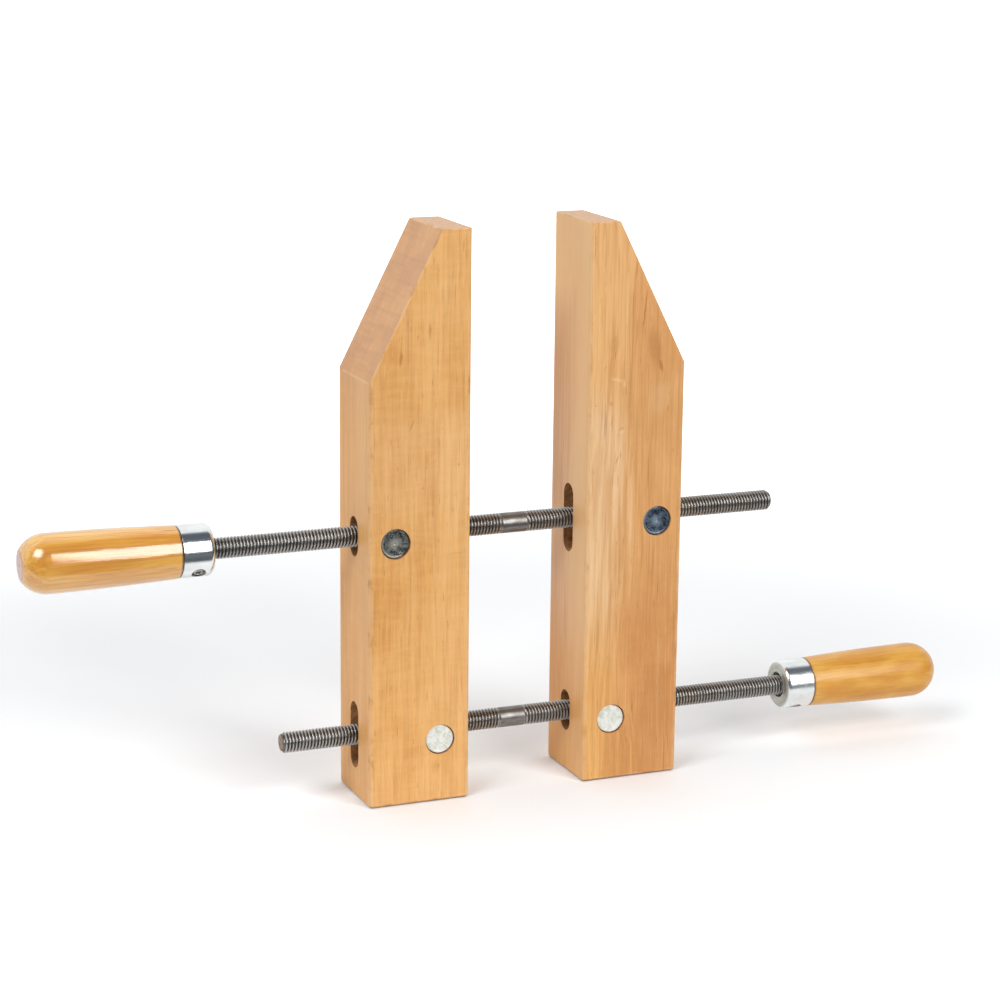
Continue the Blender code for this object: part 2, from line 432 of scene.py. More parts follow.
def mark_jaw(mesh, planes):
    """Colour attribute: red on the rounded edges, green in the holes and passages."""
    mask = mesh.color_attributes.new("mask", "FLOAT_COLOR", "CORNER")
    for face in mesh.polygons:
        bored = depth_below(face.center, planes) > BUTT_CHAMFER
        eased = not bored and not on_plane(face.normal, face.center, planes)
        for corner in face.loop_indices:
            mask.data[corner].color = (float(eased), float(bored), 0.0, 1.0)


def make_jaw(name, side, material):
    planes = jaw_planes(side)
    jaw = jaw_block(name, side)
    tools = []
    for nut, height in ((END_NUT, END_HEIGHT), (MIDDLE_NUT, MIDDLE_HEIGHT)):
        pivot = Vector((side * nut, 0, height))
        tools.append(cylinder("hole", NUT_HOLE_RADIUS, 4 * JAW_HALF, (0, 1, 0), pivot, FINE))
        tools += [slot_tool(pivot, half) for half in (-1, 1)]
    subtract(jaw, tools)
    ease_rims(jaw.data, planes)
    mark_jaw(jaw.data, planes)
    wear(jaw, material)
    soften(jaw, 30, weighted=True)
    return jaw


# ---------------- screws
THREAD_COLUMNS = 40
SHOULDER_DROP = 0.07 * MM
THREAD_PROFILE = (              # (share of the pitch, radius)
    (0.0, CREST - SHOULDER_DROP), (0.05, CREST), (0.25, CREST), (0.30, CREST - SHOULDER_DROP),
    (0.60, ROOT), (0.70, ROOT))
TIP_SLOPE = 0.9


def smooth_share(value, low, high):
    share = min(max((value - low) / (high - low), 0.0), 1.0)
    return share * share * (3 - 2 * share)


def half_thread(length, turn):
    """Points and faces of a right-hand thread from the plain middle to a chamfered tip."""
    per = len(THREAD_PROFILE)
    rows = per * (int(length / PITCH) + 3)
    points, faces = [], []
    for row in range(rows):
        share, radius = THREAD_PROFILE[row % per]
        start = (row // per - 1 + share) * PITCH
        for column in range(THREAD_COLUMNS):
            x = min(max(start + PITCH * column / THREAD_COLUMNS, 0.0), length)
            cut = smooth_share(x, PLAIN_HALF, PLAIN_HALF + RUNOUT)
            r = PLAIN_RADIUS + (radius - PLAIN_RADIUS) * cut
            r = min(r, ROD_TIP + TIP_SLOPE * (length - x))
            angle = TAU * column / THREAD_COLUMNS
            points.append((turn * x, r * math.cos(angle), r * math.sin(angle)))
    for row in range(rows - 1):
        for column in range(THREAD_COLUMNS):
            after, up = column + 1, 0
            if after == THREAD_COLUMNS:
                after, up = 0, per
            if row + up + 1 >= rows:
                continue
            faces.append((row * THREAD_COLUMNS + column, (row + up) * THREAD_COLUMNS + after,
                          (row + up + 1) * THREAD_COLUMNS + after,
                          (row + 1) * THREAD_COLUMNS + column))
    return points, faces


def make_thread(name, left_length, right_length, material):
    """A screw with opposite thread hands on its two halves and a plain middle."""
    bm = bmesh.new()
    for length, turn in ((left_length, -1), (right_length, 1)):
        points, faces = half_thread(length, turn)
        verts = [bm.verts.new(p) for p in points]
        for face in faces:
            bm.faces.new([verts[i] for i in face])
    bmesh.ops.remove_doubles(bm, verts=bm.verts, dist=MERGE)
    bmesh.ops.dissolve_degenerate(bm, dist=1e-7, edges=bm.edges)
    bmesh.ops.delete(bm, geom=[v for v in bm.verts if not v.link_faces], context="VERTS")
    tips = [e for e in bm.edges if len(e.link_faces) == 1]
    bmesh.ops.holes_fill(bm, edges=tips, sides=0)
    item = link(name, mesh_of(bm, name), material)
    soften(item, 38)
    return item


# ---------------- nuts, ferrules, handles
def make_nut(name, x, height, material):
    """A round cross nut with a chamfered rim and a slightly dished turned face."""
    rim = 0.55 * MM
    inner = NUT_RADIUS - rim
    face = [(NUT_HALF - 0.75 * MM, 0.0), (NUT_HALF - 0.40 * MM, 0.6 * MM),
            (NUT_HALF - 0.32 * MM, 0.9 * MM), (NUT_HALF - 0.26 * MM, 0.55 * inner),
            (NUT_HALF - 0.22 * MM, 0.84 * inner), (NUT_HALF - 0.03 * MM, 0.93 * inner),
            (NUT_HALF, 0.97 * inner)]
    face += arc(NUT_HALF - rim, inner, rim, 0, 90, 4)
    profile = face + [(-along, radius) for along, radius in reversed(face)]
    mesh = revolve(name, profile, FINE)
    mesh.transform(Matrix.Rotation(math.radians(90), 4, "Z"))
    nut = link(name, mesh)
    subtract(nut, [cylinder("bore", NUT_BORE, 4 * NUT_RADIUS, (1, 0, 0), steps=56)])
    wear(nut, material)
    nut.location = (x, 0, height)
    soften(nut, 32, weighted=True)
    return nut


def across(angle, toward):
    """Direction of a cross pin in the grip's own axes."""
    return (0, toward * math.sin(angle), -toward * math.cos(angle))


def ferrule_profile():
    """(along, radius) round the section: rounded front, rolled hole rim, thin skirt."""
    back = FERRULE_FACE + FERRULE_LENGTH
    wall, corner, roll = 1.3 * MM, 3.1 * MM, 0.8 * MM
    hole = 6.9 * MM
    outer = [(back, FERRULE_RADIUS - 0.25 * MM), (back - 0.2 * MM, FERRULE_RADIUS)]
    outer += [(back - 4 * MM, FERRULE_RADIUS + 0.02 * MM), (back - 9 * MM, FERRULE_RADIUS)]
    outer += [(FERRULE_FACE + corner * (1 - math.cos(a)),
               FERRULE_RADIUS - corner * (1 - math.sin(a)))
              for a in np.radians([90, 75, 60, 45, 30, 15, 0])]
    dish = 0.25 * MM
    outer += [(FERRULE_FACE + dish, FERRULE_RADIUS - corner - 1.2 * MM),
              (FERRULE_FACE + dish, hole + 1.9 * MM)]
    lip = [(FERRULE_FACE + roll * (1 - math.sin(a)), hole + roll * (1 - math.cos(a)))
           for a in np.radians([120, 90, 60, 30, 0])]
    inner = [(FERRULE_FACE + wall + roll, hole), (FERRULE_FACE + wall + roll, hole + 1.2 * MM),
             (FERRULE_FACE + wall + dish, FERRULE_RADIUS - wall - 1.5 * MM),
             (FERRULE_FACE + wall + 1.5 * MM, FERRULE_RADIUS - wall), (back, FERRULE_RADIUS - wall)]
    return outer + lip + inner


def make_ferrule(name, direction, material):
    ferrule = link(name, revolve(name, ferrule_profile(), FERRULE_SIDES, closed=True))
    tools = [cylinder("pin_hole", PIN_RADIUS + 0.15 * MM, 4 * FERRULE_RADIUS, direction,
                      (PIN_AT, 0, 0))]
    tools += [countersink(Vector(direction) * end) for end in (-1, 1)]
    subtract(ferrule, tools)
    wear(ferrule, material)
    soften(ferrule, 30, weighted=True)
    return ferrule


def countersink(direction):
    """A cone that opens the pin hole at the ferrule's outside."""
    wide, narrow, depth = PIN_RADIUS + 2.2 * MM, PIN_RADIUS + 0.1 * MM, 2.1 * MM
    middle = Vector((PIN_AT, 0, 0)) + direction * (FERRULE_RADIUS + 0.15 * MM)
    return cone("sink", (narrow, wide), depth, direction, middle)


def make_pin(name, direction, material):
    """A tubular rivet through the ferrule, its ends rolled and hollow."""
    half = FERRULE_RADIUS - 0.45 * MM
    hollow, deep = 1.45 * MM, 2.4 * MM
    end = [(half - deep, 0.0), (half - deep, hollow)]
    end += [(half - 0.5 * MM, hollow), (half - 0.12 * MM, hollow + 0.18 * MM),
            (half, hollow + 0.5 * MM), (half - 0.1 * MM, PIN_RADIUS - 0.45 * MM),
            (half - 0.55 * MM, PIN_RADIUS)]
    profile = end + [(-along, radius) for along, radius in reversed(end)]
    mesh = revolve(name, profile, COARSE)
    mesh.transform(Matrix.Translation((PIN_AT, 0, 0)) @ turned_from((1, 0, 0), direction))
    pin = link(name, mesh, material)
    soften(pin, 35)
    return pin


def handle_profile():
    """(along, radius) from the domed end's centre hole to the tenon in the ferrule."""
    flat = math.degrees(math.asin(FLAT_RADIUS / HANDLE_RADIUS))
    dome = HANDLE_TIP - HANDLE_RADIUS * math.cos(math.radians(flat))
    neck = FERRULE_FACE + FERRULE_LENGTH + 0.35 * MM
    dot, dot_depth, rim = 0.75 * MM, 1.6 * MM, 0.35 * MM
    points = [(HANDLE_TIP - dot_depth, 0.0), (HANDLE_TIP - 0.25 * MM, dot),
              (HANDLE_TIP - 0.02 * MM, dot + 0.3 * MM), (HANDLE_TIP, 0.5 * FLAT_RADIUS),
              (HANDLE_TIP - 0.03 * MM, FLAT_RADIUS - rim)]
    points += arc(dome, 0, HANDLE_RADIUS, flat + 2, 90, 26)
    count = 36
    for i in range(1, count):
        along = dome + (neck - dome) * i / count
        thinner = (HANDLE_RADIUS - NECK_RADIUS) * (i / count) ** BARREL_POWER
        points.append((along, HANDLE_RADIUS - thinner))
    tenon, tenon_front = FERRULE_RADIUS - 1.6 * MM, FERRULE_FACE + 2.6 * MM
    socket, socket_floor = 6.2 * MM, FERRULE_FACE + 6 * MM
    points += [(neck + 0.5 * MM, NECK_RADIUS + 0.02 * MM),
               (neck + 0.12 * MM, NECK_RADIUS - 0.25 * MM), (neck, NECK_RADIUS - 0.7 * MM),
               (neck, tenon), (tenon_front, tenon), (tenon_front, socket),
               (socket_floor, socket - 0.1 * MM), (socket_floor, 0.0)]
    return points


def make_handle(name, direction, material):
    handle = link(name, revolve(name, handle_profile(), HANDLE_SIDES))
    subtract(handle, [cylinder("pin_hole", PIN_RADIUS + 0.2 * MM, 4 * FERRULE_RADIUS, direction,
                               (PIN_AT, 0, 0))])
    wear(handle, material)
    soften(handle, 32)
    return handle


# ---------------- finishes
TINY = 1e-9                     # ties one mark to the next without moving it
MARK_FADE = (1.25, 0.35)        # a mark's soft edge, in shares of its half size
MARK_DEPTH = 1000.0             # so deep along Y that only X and Z matter
GRIT = 1.6 * MM                 # how far a mark's edge wanders
# marks on the jaws' seen side, in mm: x, z, half width, half length, lean in degrees, strength
DARK_MARKS = (
    (-71.9, 239.5, 0.9, 4.2, 3, 0.70), (-56.2, 253.0, 0.8, 4.6, -2, 0.55),
    (-65.8, 204.6, 0.6, 3.6, 24, 0.50), (-39.9, 182.5, 0.5, 0.8, 0, 0.70),
    (-57.5, 186.0, 1.3, 4.5, 4, 0.30), (-88.2, 219.0, 1.4, 9.0, 1, 0.60),
    (-60.0, 171.0, 0.6, 0.7, 0, 0.55), (-52.0, 281.0, 0.8, 7.0, -2, 0.30),
    (-81.0, 96.0, 1.0, 11.0, 3, 0.28), (-41.7, 135.0, 7.6, 0.22, -2, 0.38),
    (-52.5, 19.0, 2.2, 4.0, 0, 0.25), (-86.0, 196.0, 0.5, 6.0, 0, 0.30),
    (35.3, 293.0, 0.45, 11.0, 0, 0.65), (64.6, 257.0, 0.55, 12.5, 6, 0.95),
    (74.5, 227.5, 1.2, 4.4, -14, 0.95), (71.0, 237.0, 4.5, 11.0, -12, 0.55),
    (60.5, 247.0, 0.8, 8.0, 5, 0.35), (52.3, 194.7, 1.9, 0.6, -20, 0.45),
    (50.0, 177.8, 0.5, 2.6, 22, 0.55), (50.8, 166.5, 0.3, 4.5, 0, 0.60),
    (46.7, 197.8, 0.3, 5.5, 0, 0.65), (45.9, 208.5, 1.5, 1.4, 0, 0.42),
    (37.2, 207.9, 0.6, 0.6, 0, 0.60), (54.5, 216.0, 0.4, 4.5, 2, 0.50),
    (47.5, 240.0, 3.0, 6.0, 8, 0.28), (72.5, 119.0, 1.0, 14.0, 1, 0.30),
    (62.0, 40.0, 0.7, 12.0, -3, 0.35), (78.0, 50.0, 0.5, 16.0, 1, 0.40),
    (69.0, 16.0, 0.4, 8.0, -2, 0.40), (47.0, 60.0, 0.4, 12.0, 3, 0.28))
PALE_MARKS = (
    (49.4, 221.0, 4.2, 1.0, 12, 0.38), (53.4, 218.6, 1.0, 2.2, -8, 0.32),
    (52.6, 192.9, 2.0, 0.8, -24, 0.30), (74.5, 210.0, 7.0, 10.0, 20, 0.16),
    (38.5, 121.0, 2.0, 0.8, 40, 0.30), (40.0, 150.0, 4.5, 60.0, 0, 0.22))

# maple
HEART_X = 70 * MM               # the growth rings' heart, outside the billet
HEART_Y = 105 * MM
RING_SPACING = 4.6 * MM
RING_DRIFT = 16 * MM
PALE_GRAIN = (0.880, 0.560, 0.270)
PLANED_EDGE = (0.620, 0.345, 0.180)
HONEY = ((0.690, 0.325, 0.085), (0.770, 0.400, 0.125), (0.830, 0.455, 0.165))
SAPWOOD = ((0.800, 0.500, 0.245), (0.870, 0.610, 0.365))
HEARTWOOD = ((0.560, 0.240, 0.070), (0.720, 0.355, 0.125))
BORED_AND_SHADED = ((0.560, 0.280, 0.115), (0.330, 0.150, 0.058))
END_GRAIN = ((0.700, 0.455, 0.300), (0.540, 0.315, 0.185))


class Maple(Finish):
    """Oiled maple, its grain along Z. A method that takes a tone adds one thing to it."""

    def __init__(self, name, **constants):
        super().__init__(name, **constants)
        self.x, self.y, self.z = self.parts(self.here)
        facing = self.parts(self.where["Normal"])
        self.front = facing[1]
        self.steep = self.size(facing[2])
        self.end = self.step(self.steep, 0.55, 0.98)
        self.side = self.step(self.size(facing[0]), 0.45, 0.90)
        self.right = self.by_jaw(0.0, 1.0)
        mask = self.parts(self.node("Attribute", attribute_name="mask"))
        self.eased, self.bored = mask[0], mask[1]
        self.warp = self.noise((26, 26, 5), detail=3.0, rough=0.55)
        self.bent = self.shift(self.here, self.scaled(self.warp, 10 * MM))
        self.streak = self.noise((330, 330, 10), detail=4.0, rough=0.62, source=self.bent)
        self.fine = self.noise((1250, 1250, 24), (7, 3, 1), detail=4.0, rough=0.65,
                               source=self.bent)
        self.fleck = self.noise((1300, 1300, 130), (1, 5, 9), detail=1.0)
        self.late = self.late_wood()

    def by_jaw(self, left, right):
        """One value on the left jaw and another on the right."""
        return self.step(self.x, -MM, MM, left, right)

    def rise(self, low, high, *span):
        """A share that changes between two heights, in mm."""
        return self.step(self.z, low * MM, high * MM, *span)

    def late_wood(self):
        """The dark end of each growth ring."""
        spot = self.parts(self.bent)
        reach = self.length(self.sum(self.size(spot[0]), HEART_X), self.sum(spot[1], HEART_Y))
        uneven = self.noise((75, 75, 4), (4, 1, 6), detail=3.0, rough=0.6)
        reach = self.sum(reach, self.product(uneven, RING_DRIFT))
        ring = self.math("FRACT", self.math("DIVIDE", reach, RING_SPACING))
        return self.math("POWER", ring, 5.0)

    def billet(self):
        """Honey on the left jaw; on the right, pale sapwood that turns to heartwood."""
        broad = self.noise((34, 34, 13), (3, 8, 2), detail=4.0, rough=0.6, source=self.bent)
        patch = self.step(broad, 0.32, 0.68)
        left = self.ramp(patch, *HONEY)
        band = self.product(self.rise(130, 175), self.rise(228, 195, 0.0, 0.28))
        left = self.mix(band, left, (0.900, 0.570, 0.280))
        # painted bounce light: the left jaw is painted paler toward its foot, where light from the
        # floor reaches it
        left = self.mix(self.rise(35, 10, 0.0, 0.35), left, (0.900, 0.540, 0.220))
        pale = self.mix(patch, *SAPWOOD)
        pale = self.mix(self.rise(185, 230), pale, (0.800, 0.445, 0.175))
        pale = self.mix(self.rise(115, 50), pale, (0.790, 0.420, 0.130))
        deep = self.mix(patch, *HEARTWOOD)
        deep = self.mix(self.rise(60, 135, 0.0, 0.45), deep, (0.790, 0.430, 0.170))
        deep = self.mix(self.rise(205, 235, 0.0, 0.35), deep, (0.700, 0.320, 0.110))
        deep = self.mix(self.rise(70, 30, 0.0, 0.35), deep, (0.520, 0.225, 0.070))
        drift = self.sum(self.product(self.math("SUBTRACT", self.warp, 0.5), 36 * MM),
                         self.product(self.math("SUBTRACT", self.streak, 0.5), 50 * MM))
        heart = self.step(self.sum(self.x, drift), 36 * MM, 68 * MM)
        heart = self.product(heart, self.rise(300, 262, 0.60, 1.0))
        return self.mix(self.right, left, self.mix(heart, pale, deep))

    def grain(self, tone):
        """Streaks, seams, curl, rings, pore lines and flecks."""
        curl = self.noise((46, 46, 190), (6, 2, 2), detail=4.0, rough=0.65, distortion=0.5)
        dash = self.noise((640, 640, 62), (4, 4, 4), detail=2.0, rough=0.7)
        thread = self.noise((900, 900, 9), (9, 2, 7), detail=1.0, source=self.bent)
        seam = self.noise((560, 560, 15), (2, 9, 4), detail=3.0, rough=0.6, source=self.bent)
        tone = self.tint(tone, (0.600, 0.275, 0.080), self.streak, 0.44, 0.72, 0.45)
        tone = self.tint(tone, PALE_GRAIN, self.streak, 0.44, 0.26, 0.25)
        tone = self.tint(tone, (0.500, 0.225, 0.065), self.fine, 0.50, 0.76, 0.55)
        seams = self.product(self.right, self.step(seam, 0.52, 0.66, 0.0, 0.36))
        tone = self.mix(seams, tone, (0.520, 0.215, 0.055))
        tone = self.tint(tone, PALE_GRAIN, self.fine, 0.46, 0.28, 0.30)
        waves = self.product(self.step(curl, 0.40, 0.66), self.by_jaw(0.17, 0.04))
        tone = self.mix(waves, tone, (0.900, 0.560, 0.250))
        tone = self.mix(self.product(self.late, 0.22), tone, (0.500, 0.220, 0.065))
        lines = self.product(self.step(thread, 0.69, 0.76), self.by_jaw(0.22, 0.48))
        tone = self.mix(lines, tone, (0.300, 0.110, 0.030))
        tone = self.tint(tone, (0.320, 0.135, 0.042), self.fleck, 0.69, 0.79, 0.42)
        return self.tint(tone, (0.380, 0.160, 0.048), dash, 0.72, 0.83, 0.38)

    def narrow_sides(self, tone):
        """The planed sides are pinker than the wide faces, and painted paler toward the front and
        the top as painted light.
        """
        pinker = self.mix(self.rise(190, 245), (0.690, 0.300, 0.080), PLANED_EDGE)
        pinker = self.mix(self.product(self.right, self.rise(50, 110)), pinker, PLANED_EDGE)
        tone = self.mix(self.product(self.side, self.rise(60, 260, 0.40, 0.52)), tone, pinker)
        # painted light: the sides are painted paler toward the front edge and the top, most on the
        # right jaw
        painted_light_ahead = self.math("MAXIMUM", self.step(self.y, 16 * MM, -21 * MM),
                          self.rise(235, 275, 0.0, 0.75))
        painted_light_ahead = self.product(painted_light_ahead, self.side, self.rise(45, 120, 0.40, 0.85),
                             self.by_jaw(0.30, 1.0))
        return self.mix(painted_light_ahead, tone, (0.850, 0.555, 0.262))

    def marks(self, source, marks):
        """Share of soft-edged marks, each an ellipse in X and Z, worked out one after another."""
        total = self.product(self.parts(source)[0], 0.0)
        for x, z, wide, long, lean, strength in marks:
            tied = self.node("VectorMath", {0: total, 1: (TINY, TINY, TINY), 2: source},
                             operation="MULTIPLY_ADD")
            local = self.node("Mapping", {"Vector": tied, "Location": (x * MM, 0, z * MM),
                                          "Rotation": (0, math.radians(lean), 0),
                                          "Scale": (wide * MM, MARK_DEPTH, long * MM)},
                              vector_type="TEXTURE")
            away = self.node("VectorMath", {0: local}, out=1, operation="LENGTH")
            total = self.math("MAXIMUM", total, self.step(away, *MARK_FADE, 0.0, strength))
        return total

    def dents(self, tone):
        """Dark and pale marks on the seen side, with ragged edges."""
        grit = self.scaled(self.noise((420, 420, 260), (2, 7, 3), detail=3.0), GRIT)
        ragged = self.shift(self.shift(self.here, grit), (-GRIT / 2, 0, -GRIT / 2))
        seen = self.step(self.front, -0.35, -0.85)
        dark = self.product(self.marks(ragged, DARK_MARKS), seen)
        light = self.product(self.marks(ragged, PALE_MARKS), seen)
        self.hurt = self.math("MAXIMUM", dark, light)
        tone = self.mix(self.product(dark, 0.82), tone, (0.430, 0.170, 0.042))
        return self.mix(light, tone, (0.870, 0.610, 0.350))

    def end_grain(self, tone):
        pores = self.noise((1900, 1900, 1900), (2, 2, 2), detail=3.0, rough=0.7)
        cut = self.blend(pores, 0.40, 0.68, *END_GRAIN)
        cut = self.mix(self.product(self.late, 0.45), cut, (0.440, 0.235, 0.120))
        return self.mix(self.product(self.end, 0.85), tone, cut)

    def sawn_bevel(self, tone):
        """Saw marks across the sloping bevel."""
        sloped = self.product(self.step(self.steep, 0.25, 0.40), self.step(self.steep, 0.60, 0.50))
        sawn = self.noise((150, 26, 520), (1, 4, 4), detail=3.0, rough=0.55, distortion=0.25)
        cloud = self.noise((60, 60, 40), (3, 3, 7), detail=2.0)
        tone = self.mix(self.product(sloped, 0.30), tone, (0.640, 0.270, 0.110))
        tone = self.mix(self.product(sloped, self.step(sawn, 0.42, 0.70, 0.04, 0.34)), tone,
                        (0.480, 0.235, 0.115))
        return self.mix(self.product(sloped, self.step(cloud, 0.40, 0.62, 0.0, 0.40)), tone,
                        (0.520, 0.265, 0.130))

    def worn_and_lit_edges(self, tone):
        """Edges painted lighter, partly as polish and partly as a painted highlight, with darker
        rubbed patches, and painted shade at the foot.
        """
        rub = self.noise((90, 90, 60), (5, 1, 6), detail=4.0, rough=0.65)
        # partly wear polish, partly a painted highlight on the rounded edges
        polish_and_highlight = self.product(self.eased, self.step(rub, 0.34, 0.62), 0.38)
        tone = self.mix(polish_and_highlight, tone, (0.800, 0.520, 0.290))
        grime = self.product(self.eased, self.step(rub, 0.50, 0.32), self.by_jaw(0.40, 0.16))
        tone = self.mix(grime, tone, (0.290, 0.140, 0.065))
        # painted shade on the rounded edges at the foot, which face down
        foot_shade = self.product(self.eased, self.rise(1.6, 0.3, 0.0, 0.65))
        return self.mix(foot_shade, tone, (0.200, 0.105, 0.060))

    def bored_holes(self, tone):
        bored_patch = self.noise((260, 260, 420), (9, 9, 9), detail=3.0)
        # partly the bored wood's own colour, partly painted shade inside the holes and passages
        return self.mix(self.bored, tone, self.blend(bored_patch, 0.35, 0.70, *BORED_AND_SHADED))

    def surface(self):
        """Roughness and relief: grain, the pits of the marks, and slow dents."""
        shine = self.sum(self.step(self.streak, 0.30, 0.75, 0.36, 0.50),
                         self.product(self.bored, 0.35))
        shine = self.math("ADD", shine, self.product(self.end, 0.10), clamp=True)
        self.set("Roughness", shine)
        fibres = self.sum(self.product(self.fine, 0.6), self.product(self.streak, 0.8))
        hurt = self.math("MAXIMUM", self.hurt, self.step(self.fleck, 0.68, 0.79))
        pits = self.bump(self.math("SUBTRACT", 1.0, hurt), 0.20, 0.5,
                         self.bump(fibres, 0.12, 0.5))
        dent = self.noise((70, 70, 45), (8, 2, 3), detail=2.0)
        self.set("Normal", self.bump(dent, 1.2, 0.22, pits))


def maple_finish():
    wood = Maple("jaw_maple", roughness=0.42, specular_ior_level=0.34)
    tone = wood.billet()
    for layer in (wood.grain, wood.narrow_sides, wood.dents, wood.end_grain, wood.sawn_bevel,
                  wood.worn_and_lit_edges, wood.bored_holes):
        tone = layer(tone)
    wood.set("Base Color", tone)
    wood.surface()
    return wood.material


GLOSSY_COAT = {"coat_weight": 1.0, "coat_ior": 1.85, "coat_roughness": 0.045}
DULL_COAT = {"coat_weight": 0.40, "coat_ior": 1.5, "coat_roughness": 0.20}
AMBER = ((0.700, 0.295, 0.032), (0.810, 0.400, 0.058), (0.900, 0.510, 0.104))
DULL_AMBER = ((0.620, 0.268, 0.034), (0.685, 0.330, 0.048), (0.740, 0.388, 0.072))


def varnish_finish(name, worn):
    """Amber varnish over straight-grained wood, grain along X; worn makes it dull."""
    f = Finish(name, roughness=0.36, specular_ior_level=0.30,
               **(DULL_COAT if worn else GLOSSY_COAT))
    facing = f.parts(f.where["Normal"])
    end = f.step(f.size(facing[0]), 0.90, 0.985)
    here = f.parts(f.here)
    warp = f.noise((6, 60, 60), detail=2.0)
    layer = f.sum(here[1], f.product(here[2], 0.35), f.product(warp, 6 * MM))
    late = f.math("POWER", f.math("FRACT", f.math("DIVIDE", layer, 2.6 * MM)), 4.0)
    streak = f.noise((14 if worn else 9, 560, 560), detail=4.0, rough=0.62)
    fine = f.noise((34, 1400, 1400), (3, 1, 4), detail=4.0, rough=0.65)
    broad = f.noise((40 if worn else 12, 110, 110), (6, 2, 8), detail=3.0)
    line = f.noise((26, 900, 900), (8, 8, 1), detail=1.0)
    tone = f.ramp(f.step(broad, 0.32, 0.68), *(DULL_AMBER if worn else AMBER))
    tone = f.tint(tone, (0.540, 0.220, 0.030), streak, 0.42, 0.72, 0.16 if worn else 0.40)
    tone = f.tint(tone, (0.900, 0.560, 0.170), streak, 0.46, 0.26, 0.20 if worn else 0.38)
    tone = f.tint(tone, (0.480, 0.185, 0.028), fine, 0.48, 0.72, 0.50 if worn else 0.70)
    tone = f.mix(f.product(late, 0.14 if worn else 0.30), tone, (0.430, 0.155, 0.025))
    tone = f.tint(tone, (0.280, 0.100, 0.018), line, 0.67, 0.77, 0.25 if worn else 0.65)
    pores = f.noise((1700, 1700, 1700), (2, 2, 2), detail=3.0, rough=0.7)
    cut = f.blend(pores, 0.38, 0.66, (0.600, 0.270, 0.120), (0.360, 0.145, 0.060))
    tone = f.mix(end, tone, cut)
    neck = FERRULE_FACE + FERRULE_LENGTH
    seam = f.step(here[0], neck + 1.6 * MM, neck + 0.7 * MM, 0.0, 0.35 if worn else 0.80)
    tone = f.mix(seam, tone, (0.090, 0.040, 0.018))
    f.set("Base Color", tone)
    f.set("Roughness", f.step(streak, 0.3, 0.75, 0.32, 0.44))
    skin = f.bump(f.noise((24, 60, 60), detail=2.0), 1.0, 0.16)
    skin = f.bump(fine, 0.09, 0.50, skin)
    skin = f.bump(streak, 0.10, 0.55, skin)
    f.set("Normal", f.bump(line, 0.10, 0.25, skin))
    f.set("Coat Normal", skin)
    return f.material


def steel_finish():
    """Cut thread in dark oiled steel: bright crests, darker roots."""
    f = Finish("spindle_steel", metallic=0.90)
    here = f.parts(f.here)
    radius = f.length(here[1], here[2])
    high = f.step(radius, ROOT + 0.25 * MM, CREST - 0.05 * MM)
    plain = f.step(f.size(here[0]), PLAIN_HALF + 1.5 * MM, PLAIN_HALF)
    dirt = f.noise((120, 300, 300), detail=4.0, rough=0.65)
    cloud = f.noise((28, 60, 60), (5, 5, 5), detail=2.0)
    bare = f.blend(cloud, 0.35, 0.65, (0.440, 0.430, 0.414), (0.345, 0.340, 0.330))
    deep = f.blend(dirt, 0.35, 0.65, (0.110, 0.105, 0.098), (0.195, 0.187, 0.175))
    tone = f.mix(high, deep, bare)
    smooth = f.blend(dirt, 0.35, 0.65, (0.235, 0.222, 0.208), (0.165, 0.155, 0.145))
    tone = f.mix(plain, tone, smooth)
    rust = f.noise((200, 420, 420), (1, 9, 4), detail=3.0, rough=0.7)
    tone = f.tint(tone, (0.150, 0.100, 0.065), rust, 0.66, 0.80, 0.45)
    facing = f.parts(f.where["Normal"])
    cut_end = f.step(f.size(facing[0]), 0.90, 0.97)
    brown = f.blend(rust, 0.40, 0.60, (0.400, 0.290, 0.235), (0.240, 0.155, 0.120))
    tone = f.mix(cut_end, tone, brown)
    f.set("Base Color", tone)
    low = f.math("SUBTRACT", 1.0, high)
    f.set("Roughness", f.sum(f.step(dirt, 0.3, 0.7, 0.22, 0.33), f.product(plain, 0.10),
                             f.product(cut_end, 0.25), f.product(low, 0.10)))
    f.set("Normal", f.bump(f.noise((2600, 900, 900), detail=2.0), 0.05, 0.35))
    return f.material


TURNING_PITCH = 0.62 * MM
LEFT_BLUING = (0.92, 0.90, 0.80)
RIGHT_BLUING = (0.56, 0.72, 0.92)


